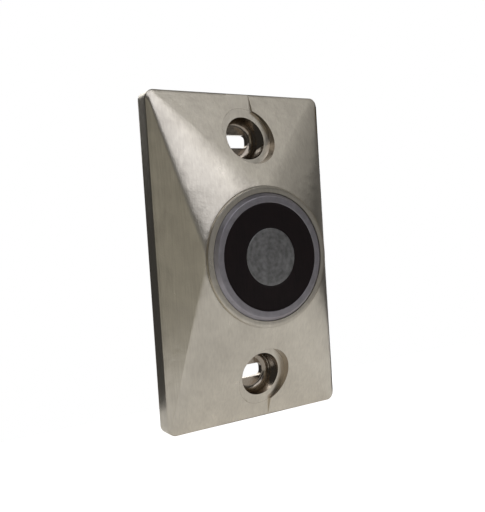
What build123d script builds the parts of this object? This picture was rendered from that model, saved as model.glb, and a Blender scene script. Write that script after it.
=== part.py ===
from build123d import *
import os
from math import cos, radians, sin

# Electromagnetic door holder, wall side, in millimetres.
# X is to the right, Z is up and the front faces -Y. The origin is the middle of the face that
# lies on the wall. A depth is a distance in front of the wall, so a negative depth is inside it.

# Cover plate
PLATE_W = 69.85
PLATE_H = 114.3
PLATE_CORNER_R = 3.0
RIM_DEPTH = 6.0
RIM_CHAMFER = 0.5
WALL_T = 2.5
DOME_R = 24.0
DOME_DEPTH = 19.3
DOME_FLAT_ANGLE = 3.0

# The same facets on the inside of the casting
INNER_CORNER_R = 0.8
INNER_RIM_DEPTH = 4.6
INNER_DOME_R = 23.6
INNER_DOME_DEPTH = 15.8

# Collar round the magnet
COLLAR_BORE_R = 21.7
COLLAR_R = 23.6
COLLAR_DEPTH = 20.2
SEAT_R = 24.8
SEAT_DEPTH = 14.5
SEAT_WALL_R = 27.0
COLLAR_EDGE_R = 0.5

# Screw recesses: a round pocket with a channel to the short edge, whose floor rises from the
# rim's front edge towards the collar, and in the pocket a well with a slot for the box screw
RECESS_Z = 41.7
RECESS_R = 10.1
RECESS_SLOPE = 13.2
CHANNEL_W = 9.0
WELL_Z = 41.1
WELL_R = 7.5
WELL_WALL = 2.0
WELL_FLOOR_T = 2.0
SLOT_L = 11.1
SLOT_W = 4.6
SLOT_CORNER_R = 1.6

# Pot magnet
FACE_DEPTH = 21.2
POT_R = 21.5
POT_L = 35.0
POT_FLOOR_T = 6.0
POT_CHAMFER = 1.2
BACK_CHAMFER = 0.5
POT_BORE_R = 18.2
POT_BACK = FACE_DEPTH - POT_L
FLOOR_DEPTH = POT_BACK + POT_FLOOR_T
FLANGE_R = 24.4
FLANGE_T = 2.0
SPRING_H = 1.3
SPRING_T = 0.6
SPRING_IN_R = 22.2
SPRING_OUT_R = 24.3
CORE_R = 9.7
CORE_EDGE = 0.4
POTTING_T = 4.2
POTTING_SINK = 0.35

# Coil
BOBBIN_T = 1.2
BOBBIN_BORE_R = 9.9
BOBBIN_FLANGE_R = 17.9
BOBBIN_FRONT = FACE_DEPTH - POTTING_SINK - POTTING_T
WINDING_R = 16.9
TAPE_T = 0.4
NOTCH_W = 6.0
NOTCH_H = 6.0
NOTCH_Z = -15.7

# Core screw and its washer
CORE_SCREW_R = 2.5
CORE_HOLE_R = 2.75
CORE_SCREW_L = 16.0
CORE_HEAD_R = 4.25
CORE_HEAD_H = 5.0
CORE_HEX_AF = 4.0
CORE_SINK_R = 4.8
CORE_SINK = 3.0
CORE_TAP_SPARE = 0.5
LOCK_WASHER_IN_R = 2.6
LOCK_WASHER_R = 4.4
LOCK_WASHER_T = 1.2
WASHER_SPLIT_W = 0.8
WASHER_SPLIT_ANGLE = 20.0
CORE_HEAD_SEAT = POT_BACK + CORE_SINK - LOCK_WASHER_T

# Retaining plate behind the flange
RETAINER_T = 1.5
RETAINER_R = 25.6
RETAINER_BORE_R = 22.0
BOSS_X = 19.6
BOSS_Z = 24.0
BOSS_R = 3.6
RETAINER_EAR_R = 4.2
RETAINER_HOLE_R = 1.6
RETAINER_SCREW_R = 1.45
RETAINER_SCREW_L = 5.5
RETAINER_TAP_SPARE = 0.5
SCREW_HEAD_R = 2.7
SCREW_HEAD_H = 1.8
HEAD_CHAMFER = 0.5
DRIVE_L = 3.4
DRIVE_W = 0.7
RETAINER_FRONT = SEAT_DEPTH - FLANGE_T - SPRING_H
RETAINER_BACK = RETAINER_FRONT - RETAINER_T

# Circuit board behind the cup
BOARD_R = 20.5
BOARD_T = 1.6
SPACER_R = 2.6
SPACER_L = 7.0
BOARD_SCREW_PCR = 17.0
BOARD_SCREW_R = 1.45
BOARD_SCREW_L = 12.4
BOARD_TAP_SPARE = 0.7
BOARD_HOLE_R = 1.6
BOARD_FRONT = POT_BACK - SPACER_L
BOARD_BACK = BOARD_FRONT - BOARD_T

# Coil leads
LEAD_R = 0.9
WIRE_R = 0.45
LEAD_X = 1.7
LEAD_Z = -14.2
BUSHING_R = 3.4
BUSHING_FLANGE_R = 4.4
BUSHING_FLANGE_T = 1.2
PIN_STICK_OUT = 1.0
SOLDER_R = 1.1
SOLDER_H = 0.8
SOLDER_TAPER = 30.0

# Terminal block
POLES = 4
POLE_PITCH = 5.08
BLOCK_H = 9.0
BLOCK_DEPTH = 10.0
BLOCK_Z = 6.0
ENTRY_W = 3.4
ENTRY_H = 3.6
ENTRY_UP = 1.2
CLAMP_T = 0.5
CLAMP_L = 5.0
TERMINAL_SCREW_R = 1.1
TERMINAL_HEAD_R = 1.9
TERMINAL_HEAD_H = 1.6
TERMINAL_SCREW_L = 1.8
TERMINAL_WELL_R = 2.1
BLOCK_CHAMFER = 1.5
BLOCK_BACK = BOARD_BACK - BLOCK_DEPTH
CLAMP_FRONT = BOARD_BACK - ENTRY_UP
CLAMP_BACK = CLAMP_FRONT - ENTRY_H

# Parts on the board
RECTIFIER_X = -6.5
RECTIFIER_Z = -6.0
RECTIFIER_W = 8.4
RECTIFIER_H = 6.4
RECTIFIER_T = 3.4
RECTIFIER_PITCH = 5.1
VARISTOR_X = 7.0
VARISTOR_Z = -6.5
VARISTOR_R = 4.2
VARISTOR_T = 3.8
VARISTOR_LEG = 1.6
VARISTOR_PITCH = 5.0
VARISTOR_DEPTH = BOARD_BACK - VARISTOR_LEG - VARISTOR_R

# The section plane has the radius along its x and the depth along its y.
SECTION = Plane(origin=(0, 0, 0), x_dir=(1, 0, 0), z_dir=(0, 0, -1))
MAGNET_AXIS = Axis((0, 0, 0), (0, -1, 0))


def level(depth):
    """The plane parallel to the wall at this depth, facing the front."""
    return Plane.XZ.offset(depth)


def write(piece, label):
    piece.part.label = label
    export_step(piece.part, f"parts/{label}.step")


def plate_outline(inset):
    """The plate's outline, drawn this far inside its edge."""
    corner = max(PLATE_CORNER_R - inset, INNER_CORNER_R)
    RectangleRounded(PLATE_W - 2 * inset, PLATE_H - 2 * inset, corner)


def dome_outline(radius):
    """A circle with a short flat towards each side of the plate, for that side's facet to end on."""
    with BuildLine() as outline:
        for side in (0, 90, 180, 270):
            corner = CenterArc((0, 0), radius, side + DOME_FLAT_ANGLE, 90 - 2 * DOME_FLAT_ANGLE)
            Line(corner @ 1, (corner @ 0).rotate(Axis.Z, 90))
    make_face(outline.edges())


def screw_recesses(wall):
    """The space of both recesses, with this much wall added round it and behind its floor."""
    slope = radians(RECESS_SLOPE)
    recess_floor = Plane(
        origin=(0, wall / cos(slope) - RIM_DEPTH, PLATE_H / 2),
        x_dir=(1, 0, 0),
        z_dir=(0, -cos(slope), sin(slope)),
    )
    with BuildPart() as recesses:
        with BuildSketch(level(0)):
            with Locations((0, RECESS_Z)):
                Circle(RECESS_R + wall)
                Rectangle(CHANNEL_W + 2 * wall, PLATE_H / 2, align=(Align.CENTER, Align.MIN))
        extrude(amount=FACE_DEPTH)
        split(bisect_by=recess_floor, keep=Keep.TOP)
        mirror(about=Plane.XY)
    return recesses.part


os.makedirs("parts", exist_ok=True)

well_spots = [(0, WELL_Z), (0, -WELL_Z)]
fastener_spots = [(x, z) for x in (-BOSS_X, BOSS_X) for z in (-BOSS_Z, BOSS_Z)]
board_spots = [
    (BOARD_SCREW_PCR * cos(radians(angle)), BOARD_SCREW_PCR * sin(radians(angle)))
    for angle in (90, 210, 330)
]
lead_spots = [(-LEAD_X, LEAD_Z), (LEAD_X, LEAD_Z)]
pole_spots = [((i - (POLES - 1) / 2) * POLE_PITCH, BLOCK_Z) for i in range(POLES)]
rectifier_spots = [
    (RECTIFIER_X + i * RECTIFIER_PITCH / 2, RECTIFIER_Z + j * RECTIFIER_PITCH / 2)
    for i in (-1, 1)
    for j in (-1, 1)
]
varistor_spots = [(VARISTOR_X + i * VARISTOR_PITCH / 2, VARISTOR_Z) for i in (-1, 1)]

# The space behind the cover: the facets drawn again one wall inside, less the bosses, the
# recesses, the wells and the ring that carries the magnet's flange.
with BuildPart() as hollow:
    with BuildSketch(level(0)):
        plate_outline(WALL_T)
    extrude(amount=INNER_RIM_DEPTH)
    with BuildSketch(level(INNER_RIM_DEPTH)):
        plate_outline(WALL_T)
    with BuildSketch(level(INNER_DOME_DEPTH)):
        dome_outline(INNER_DOME_R)
    loft(ruled=True)
    add(screw_recesses(WELL_WALL), mode=Mode.SUBTRACT)
    with BuildSketch(level(0)):
        with Locations(*well_spots):
            Circle(WELL_R + WELL_WALL)
    extrude(amount=DOME_DEPTH, mode=Mode.SUBTRACT)
    with BuildSketch(level(RETAINER_FRONT)):
        with Locations(*fastener_spots):
            Circle(BOSS_R)
        Circle(SEAT_WALL_R)
    extrude(amount=DOME_DEPTH, mode=Mode.SUBTRACT)

# The cover: rim, four flat facets and the cones between them from the rim to the collar, and the
# collar, then everything cut out.
with BuildPart() as cover:
    with BuildSketch(level(0)):
        plate_outline(0)
    extrude(amount=RIM_DEPTH)
    with BuildSketch(level(RIM_DEPTH)):
        plate_outline(0)
    with BuildSketch(level(DOME_DEPTH)):
        dome_outline(DOME_R)
    loft(ruled=True)
    chamfer(cover.edges().group_by(Axis.Y)[-3], RIM_CHAMFER)
    with BuildSketch(level(DOME_DEPTH)):
        Circle(COLLAR_R)
    extrude(amount=COLLAR_DEPTH - DOME_DEPTH)
    fillet(cover.edges().group_by(Axis.Y)[0], COLLAR_EDGE_R)
    add(hollow.part, mode=Mode.SUBTRACT)
    with BuildSketch(level(0)):
        Circle(COLLAR_BORE_R)
    extrude(amount=FACE_DEPTH, mode=Mode.SUBTRACT)
    with BuildSketch(level(0)):
        Circle(SEAT_R)
    extrude(amount=SEAT_DEPTH, mode=Mode.SUBTRACT)
    add(screw_recesses(0), mode=Mode.SUBTRACT)
    with BuildSketch(level(WELL_FLOOR_T)):
        with Locations(*well_spots):
            Circle(WELL_R)
    extrude(amount=DOME_DEPTH, mode=Mode.SUBTRACT)
    with BuildSketch(level(0)):
        with Locations(*well_spots):
            RectangleRounded(SLOT_L, SLOT_W, SLOT_CORNER_R)
    extrude(amount=WELL_FLOOR_T, mode=Mode.SUBTRACT)
    with BuildSketch(level(RETAINER_FRONT)):
        with Locations(*fastener_spots):
            Circle(RETAINER_SCREW_R)
    extrude(amount=RETAINER_SCREW_L - RETAINER_T + RETAINER_TAP_SPARE, mode=Mode.SUBTRACT)
write(cover, "cover")

# The steel cup: its floor carries the core, its flange sits behind the collar, and its back
# takes the board's screws and the bushing for the leads.
with BuildPart() as magnet_pot:
    with BuildSketch(SECTION):
        with BuildLine():
            Polyline(
                (CORE_HOLE_R, FLOOR_DEPTH),
                (POT_BORE_R, FLOOR_DEPTH),
                (POT_BORE_R, FACE_DEPTH),
                (POT_R - POT_CHAMFER, FACE_DEPTH),
                (POT_R, FACE_DEPTH - POT_CHAMFER),
                (POT_R, SEAT_DEPTH),
                (FLANGE_R, SEAT_DEPTH),
                (FLANGE_R, SEAT_DEPTH - FLANGE_T),
                (POT_R, SEAT_DEPTH - FLANGE_T),
                (POT_R, POT_BACK + BACK_CHAMFER),
                (POT_R - BACK_CHAMFER, POT_BACK),
                (CORE_SINK_R, POT_BACK),
                (CORE_SINK_R, POT_BACK + CORE_SINK),
                (CORE_HOLE_R, POT_BACK + CORE_SINK),
                close=True,
            )
        make_face()
    revolve(axis=MAGNET_AXIS)
    with BuildSketch(level(POT_BACK)):
        with Locations((0, LEAD_Z)):
            Circle(BUSHING_R)
    extrude(amount=POT_FLOOR_T, mode=Mode.SUBTRACT)
    with BuildSketch(level(POT_BACK)):
        with Locations(*board_spots):
            Circle(BOARD_SCREW_R)
    extrude(amount=BOARD_SCREW_L - BOARD_T - SPACER_L + BOARD_TAP_SPARE, mode=Mode.SUBTRACT)
write(magnet_pot, "magnet_pot")

# The centre pole, standing on the cup's floor, tapped from behind.
with BuildPart() as pole_core:
    with BuildSketch(level(FLOOR_DEPTH)):
        Circle(CORE_R)
    extrude(amount=FACE_DEPTH - FLOOR_DEPTH)
    chamfer(pole_core.edges().group_by(Axis.Y)[0], CORE_EDGE)
    with BuildSketch(level(FLOOR_DEPTH)):
        Circle(CORE_SCREW_R)
    extrude(amount=CORE_SCREW_L - POT_FLOOR_T + CORE_SINK + CORE_TAP_SPARE, mode=Mode.SUBTRACT)
write(pole_core, "pole_core")

with BuildPart() as coil_bobbin:
    with BuildSketch(SECTION):
        with BuildLine():
            Polyline(
                (BOBBIN_BORE_R, FLOOR_DEPTH),
                (BOBBIN_FLANGE_R, FLOOR_DEPTH),
                (BOBBIN_FLANGE_R, FLOOR_DEPTH + BOBBIN_T),
                (BOBBIN_BORE_R + BOBBIN_T, FLOOR_DEPTH + BOBBIN_T),
                (BOBBIN_BORE_R + BOBBIN_T, BOBBIN_FRONT - BOBBIN_T),
                (BOBBIN_FLANGE_R, BOBBIN_FRONT - BOBBIN_T),
                (BOBBIN_FLANGE_R, BOBBIN_FRONT),
                (BOBBIN_BORE_R, BOBBIN_FRONT),
                close=True,
            )
        make_face()
    revolve(axis=MAGNET_AXIS)
    with BuildSketch(level(FLOOR_DEPTH)):
        with Locations((0, NOTCH_Z)):
            Rectangle(NOTCH_W, NOTCH_H)
    extrude(amount=BOBBIN_T, mode=Mode.SUBTRACT)
write(coil_bobbin, "coil_bobbin")

with BuildPart() as coil_winding:
    with BuildSketch(level(FLOOR_DEPTH + BOBBIN_T)):
        Circle(WINDING_R)
        Circle(BOBBIN_BORE_R + BOBBIN_T, mode=Mode.SUBTRACT)
    extrude(amount=BOBBIN_FRONT - FLOOR_DEPTH - 2 * BOBBIN_T)
write(coil_winding, "coil_winding")

with BuildPart() as winding_tape:
    with BuildSketch(level(FLOOR_DEPTH + BOBBIN_T)):
        Circle(WINDING_R + TAPE_T)
        Circle(WINDING_R, mode=Mode.SUBTRACT)
    extrude(amount=BOBBIN_FRONT - FLOOR_DEPTH - 2 * BOBBIN_T)
write(winding_tape, "winding_tape")

with BuildPart() as potting_ring:
    with BuildSketch(level(BOBBIN_FRONT)):
        Circle(POT_BORE_R)
        Circle(CORE_R, mode=Mode.SUBTRACT)
    extrude(amount=POTTING_T)
write(potting_ring, "potting_ring")

# The socket head screw that holds the core, with a split washer under its head.
with BuildPart() as core_screw:
    with BuildSketch(level(CORE_HEAD_SEAT - CORE_HEAD_H)):
        Circle(CORE_HEAD_R)
    extrude(amount=CORE_HEAD_H)
    chamfer(core_screw.edges().group_by(Axis.Y)[-1], CORE_EDGE)
    with BuildSketch(level(CORE_HEAD_SEAT)):
        Circle(CORE_SCREW_R)
    extrude(amount=CORE_SCREW_L)
    chamfer(core_screw.edges().group_by(Axis.Y)[0], CORE_EDGE)
    with BuildSketch(level(CORE_HEAD_SEAT - CORE_HEAD_H)):
        RegularPolygon(CORE_HEX_AF / 2, 6, major_radius=False)
    extrude(amount=CORE_HEAD_H / 2, mode=Mode.SUBTRACT)
write(core_screw, "core_screw")

with BuildPart() as core_lock_washer:
    with BuildSketch(level(CORE_HEAD_SEAT)):
        Circle(LOCK_WASHER_R)
        Circle(LOCK_WASHER_IN_R, mode=Mode.SUBTRACT)
        with Locations(Location(((LOCK_WASHER_IN_R + LOCK_WASHER_R) / 2, 0), WASHER_SPLIT_ANGLE)):
            Rectangle(LOCK_WASHER_R, WASHER_SPLIT_W, mode=Mode.SUBTRACT)
    extrude(amount=LOCK_WASHER_T)
write(core_lock_washer, "core_lock_washer")

# A conical ring between the flange and the retaining plate.
with BuildPart() as spring_washer:
    with BuildSketch(SECTION):
        with BuildLine():
            Polyline(
                (SPRING_IN_R, RETAINER_FRONT + SPRING_H),
                (SPRING_IN_R, RETAINER_FRONT + SPRING_H - SPRING_T),
                (SPRING_OUT_R, RETAINER_FRONT),
                (SPRING_OUT_R, RETAINER_FRONT + SPRING_T),
                close=True,
            )
        make_face()
    revolve(axis=MAGNET_AXIS)
write(spring_washer, "spring_washer")

with BuildPart() as retaining_plate:
    with BuildSketch(level(RETAINER_BACK)):
        Circle(RETAINER_R)
        with Locations(*fastener_spots):
            Circle(RETAINER_EAR_R)
        make_hull()
        Circle(RETAINER_BORE_R, mode=Mode.SUBTRACT)
        with Locations(*fastener_spots):
            Circle(RETAINER_HOLE_R, mode=Mode.SUBTRACT)
    extrude(amount=RETAINER_T)
write(retaining_plate, "retaining_plate")

with BuildPart() as retaining_screws:
    with BuildSketch(level(RETAINER_BACK)):
        with Locations(*fastener_spots):
            Circle(SCREW_HEAD_R)
    extrude(amount=-SCREW_HEAD_H)
    chamfer(retaining_screws.edges().group_by(Axis.Y)[-1], HEAD_CHAMFER)
    with BuildSketch(level(RETAINER_BACK)):
        with Locations(*fastener_spots):
            Circle(RETAINER_SCREW_R)
    extrude(amount=RETAINER_SCREW_L)
    with BuildSketch(level(RETAINER_BACK - SCREW_HEAD_H)):
        with Locations(*fastener_spots):
            Rectangle(DRIVE_L, DRIVE_W)
            Rectangle(DRIVE_W, DRIVE_L)
    extrude(amount=SCREW_HEAD_H / 2, mode=Mode.SUBTRACT)
write(retaining_screws, "retaining_screws")

# The board, with a hole for every pin and wire.
pin_spots = pole_spots + rectifier_spots + varistor_spots
with BuildPart() as circuit_board:
    with BuildSketch(level(BOARD_BACK)):
        Circle(BOARD_R)
        with Locations(*board_spots):
            Circle(BOARD_HOLE_R, mode=Mode.SUBTRACT)
        with Locations(*pin_spots, *lead_spots):
            Circle(WIRE_R, mode=Mode.SUBTRACT)
    extrude(amount=BOARD_T)
write(circuit_board, "circuit_board")

with BuildPart() as board_spacers:
    with BuildSketch(level(BOARD_FRONT)):
        with Locations(*board_spots):
            RegularPolygon(SPACER_R, 6, major_radius=False)
            Circle(BOARD_HOLE_R, mode=Mode.SUBTRACT)
    extrude(amount=SPACER_L)
write(board_spacers, "board_spacers")

with BuildPart() as board_screws:
    with BuildSketch(level(BOARD_BACK)):
        with Locations(*board_spots):
            Circle(SCREW_HEAD_R)
    extrude(amount=-SCREW_HEAD_H)
    chamfer(board_screws.edges().group_by(Axis.Y)[-1], HEAD_CHAMFER)
    with BuildSketch(level(BOARD_BACK)):
        with Locations(*board_spots):
            Circle(BOARD_SCREW_R)
    extrude(amount=BOARD_SCREW_L)
    with BuildSketch(level(BOARD_BACK - SCREW_HEAD_H)):
        with Locations(*board_spots):
            Rectangle(DRIVE_L, DRIVE_W)
            Rectangle(DRIVE_W, DRIVE_L)
    extrude(amount=SCREW_HEAD_H / 2, mode=Mode.SUBTRACT)
write(board_screws, "board_screws")

with BuildPart() as lead_bushing:
    with BuildSketch(level(POT_BACK)):
        with Locations((0, LEAD_Z)):
            Circle(BUSHING_R)
    extrude(amount=POT_FLOOR_T)
    with BuildSketch(level(POT_BACK)):
        with Locations((0, LEAD_Z)):
            Circle(BUSHING_FLANGE_R)
    extrude(amount=-BUSHING_FLANGE_T)
    fillet(lead_bushing.edges().group_by(Axis.Y)[-1], BUSHING_FLANGE_T / 2)
    with BuildSketch(level(POT_BACK - BUSHING_FLANGE_T)):
        with Locations(*lead_spots):
            Circle(LEAD_R)
    extrude(amount=POT_FLOOR_T + BUSHING_FLANGE_T, mode=Mode.SUBTRACT)
write(lead_bushing, "lead_bushing")

# Each lead runs straight from the winding to the board, with its end stripped to pass through.
for label, spot in zip(("coil_lead_start", "coil_lead_finish"), lead_spots):
    with BuildPart() as coil_lead:
        with BuildSketch(level(BOARD_FRONT)):
            with Locations(spot):
                Circle(LEAD_R)
        extrude(amount=FLOOR_DEPTH + BOBBIN_T - BOARD_FRONT)
        with BuildSketch(level(BOARD_BACK - PIN_STICK_OUT)):
            with Locations(spot):
                Circle(WIRE_R)
        extrude(amount=BOARD_T + PIN_STICK_OUT)
    write(coil_lead, label)

# The terminal block: a pocket for each clamp, open upwards for the wire, and a well for its screw.
with BuildPart() as terminal_block:
    with BuildSketch(level(BLOCK_BACK)):
        with Locations((0, BLOCK_Z)):
            Rectangle(POLES * POLE_PITCH, BLOCK_H)
    extrude(amount=BLOCK_DEPTH)
    chamfer(terminal_block.edges().group_by(Axis.Y)[-1].sort_by(Axis.Z)[-1], BLOCK_CHAMFER)
    with BuildSketch(level(CLAMP_BACK)):
        with GridLocations(POLE_PITCH, 0, POLES, 1):
            with Locations((0, BLOCK_Z - CLAMP_L / 2 + BLOCK_H / 2)):
                Rectangle(ENTRY_W, BLOCK_H)
    extrude(amount=ENTRY_H, mode=Mode.SUBTRACT)
    with BuildSketch(level(BLOCK_BACK)):
        with Locations(*pole_spots):
            Circle(TERMINAL_WELL_R)
    extrude(amount=CLAMP_BACK - BLOCK_BACK, mode=Mode.SUBTRACT)
    with BuildSketch(level(CLAMP_FRONT)):
        with Locations(*pole_spots):
            Circle(WIRE_R)
    extrude(amount=ENTRY_UP, mode=Mode.SUBTRACT)
write(terminal_block, "terminal_block")

with BuildPart() as terminal_clamps:
    with BuildSketch(level(CLAMP_BACK)):
        with Locations(*pole_spots):
            Rectangle(ENTRY_W, CLAMP_L)
    extrude(amount=ENTRY_H)
    with BuildSketch(level(CLAMP_BACK + CLAMP_T)):
        with Locations(*pole_spots):
            Rectangle(ENTRY_W - 2 * CLAMP_T, CLAMP_L)
    extrude(amount=ENTRY_H - 2 * CLAMP_T, mode=Mode.SUBTRACT)
    with BuildSketch(level(CLAMP_BACK)):
        with Locations(*pole_spots):
            Circle(TERMINAL_SCREW_R)
    extrude(amount=CLAMP_T, mode=Mode.SUBTRACT)
    with BuildSketch(level(CLAMP_FRONT)):
        with Locations(*pole_spots):
            Circle(WIRE_R)
    extrude(amount=ENTRY_UP + BOARD_T + PIN_STICK_OUT)
write(terminal_clamps, "terminal_clamps")

with BuildPart() as terminal_screws:
    with BuildSketch(level(CLAMP_BACK)):
        with Locations(*pole_spots):
            Circle(TERMINAL_HEAD_R)
    extrude(amount=-TERMINAL_HEAD_H)
    with BuildSketch(level(CLAMP_BACK)):
        with Locations(*pole_spots):
            Circle(TERMINAL_SCREW_R)
    extrude(amount=TERMINAL_SCREW_L)
    with BuildSketch(level(CLAMP_BACK - TERMINAL_HEAD_H)):
        with Locations(*pole_spots):
            Rectangle(2 * TERMINAL_HEAD_R, DRIVE_W)
    extrude(amount=TERMINAL_HEAD_H / 2, mode=Mode.SUBTRACT)
write(terminal_screws, "terminal_screws")

with BuildPart() as bridge_rectifier:
    with BuildSketch(level(BOARD_BACK)):
        with Locations((RECTIFIER_X, RECTIFIER_Z)):
            Rectangle(RECTIFIER_W, RECTIFIER_H)
    extrude(amount=-RECTIFIER_T)
    chamfer(bridge_rectifier.edges().group_by(Axis.Y)[-1], HEAD_CHAMFER)
    with BuildSketch(level(BOARD_BACK)):
        with Locations(*rectifier_spots):
            Circle(WIRE_R)
    extrude(amount=BOARD_T + PIN_STICK_OUT)
write(bridge_rectifier, "bridge_rectifier")

# The varistor is a coated disc that stands on edge on its two legs.
with BuildPart() as surge_varistor:
    with BuildSketch(Plane.XY.offset(VARISTOR_Z)):
        with Locations((VARISTOR_X, -VARISTOR_DEPTH)):
            Circle(VARISTOR_R)
    extrude(amount=VARISTOR_T / 2, both=True)
    fillet(surge_varistor.edges().filter_by(GeomType.CIRCLE), VARISTOR_T / 4)
    with BuildSketch(level(VARISTOR_DEPTH)):
        with Locations(*varistor_spots):
            Circle(WIRE_R)
    extrude(amount=BOARD_FRONT + PIN_STICK_OUT - VARISTOR_DEPTH)
write(surge_varistor, "surge_varistor")

# Solder: in front of the board round every pin, and behind it round the two leads.
with BuildPart() as solder_joints:
    with BuildSketch(level(BOARD_FRONT)):
        with Locations(*pin_spots):
            Circle(SOLDER_R)
    extrude(amount=SOLDER_H, taper=SOLDER_TAPER)
    with BuildSketch(level(BOARD_BACK)):
        with Locations(*lead_spots):
            Circle(SOLDER_R)
    extrude(amount=-SOLDER_H, taper=SOLDER_TAPER)
    with BuildSketch(level(BOARD_BACK - SOLDER_H)):
        with Locations(*pin_spots, *lead_spots):
            Circle(WIRE_R)
    extrude(amount=BOARD_T + 2 * SOLDER_H, mode=Mode.SUBTRACT)
write(solder_joints, "solder_joints")
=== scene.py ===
"""Electromagnetic door holder: fine pieces, finishes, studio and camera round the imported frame."""

import logging
import math
from dataclasses import dataclass
from enum import Enum
from typing import Callable

import bmesh
import bpy
from bpy.types import Material, Node, NodeSocket, NodeTree, Object
from mathutils import Matrix, Vector


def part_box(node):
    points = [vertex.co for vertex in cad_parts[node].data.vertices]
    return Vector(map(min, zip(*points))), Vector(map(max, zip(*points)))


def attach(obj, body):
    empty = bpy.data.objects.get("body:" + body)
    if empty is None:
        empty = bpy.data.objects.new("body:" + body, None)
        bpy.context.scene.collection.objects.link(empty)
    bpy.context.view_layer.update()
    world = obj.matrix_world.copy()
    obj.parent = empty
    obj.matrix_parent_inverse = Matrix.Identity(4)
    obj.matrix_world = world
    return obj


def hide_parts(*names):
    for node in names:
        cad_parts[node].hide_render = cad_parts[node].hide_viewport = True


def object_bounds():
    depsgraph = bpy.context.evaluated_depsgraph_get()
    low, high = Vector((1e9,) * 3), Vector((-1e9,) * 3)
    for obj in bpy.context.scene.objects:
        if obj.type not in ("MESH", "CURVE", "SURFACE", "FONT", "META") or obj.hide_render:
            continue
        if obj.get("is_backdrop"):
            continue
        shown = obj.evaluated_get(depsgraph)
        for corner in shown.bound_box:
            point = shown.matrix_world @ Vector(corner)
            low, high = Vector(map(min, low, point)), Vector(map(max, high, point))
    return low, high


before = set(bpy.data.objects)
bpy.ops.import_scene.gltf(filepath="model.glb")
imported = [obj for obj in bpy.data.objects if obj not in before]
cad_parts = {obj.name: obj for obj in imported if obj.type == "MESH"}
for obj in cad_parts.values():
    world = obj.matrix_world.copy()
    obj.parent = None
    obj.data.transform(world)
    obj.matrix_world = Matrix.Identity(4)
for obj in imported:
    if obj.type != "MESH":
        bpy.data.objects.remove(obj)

MM = 0.001
# Places nearer than this are the same one.
TOUCH = 0.01 * MM
# An edge this near a circle is one of its chords.
NEAR = 0.1 * MM
# Cutting tools reach this far past what they cut.
PAST = 1.0 * MM
# Angles between faces, in degrees, past which an edge is bent, sharp or square.
BENT, SHARP, SQUARE = 15.0, 45.0, 60.0
# Share of the cover's greatest rounding that each of its edges gets.
ROUNDING = {"back": 0.5, "rim": 1.0, "foot": 0.6, "collar": 0.9, "bore": 0.25, "well": 0.3,
            "recess": 0.45}
WHITE = (1.0, 1.0, 1.0, 1.0)
BODY = "root"
LOG = logging.getLogger("door_holder")

Rgb = tuple[float, float, float]
Spot = tuple[float, float]
CENTRE: Spot = (0.0, 0.0)


class Blend(Enum):
    """How one closed shape acts on another."""

    CUT = "DIFFERENCE"
    JOIN = "UNION"


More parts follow.
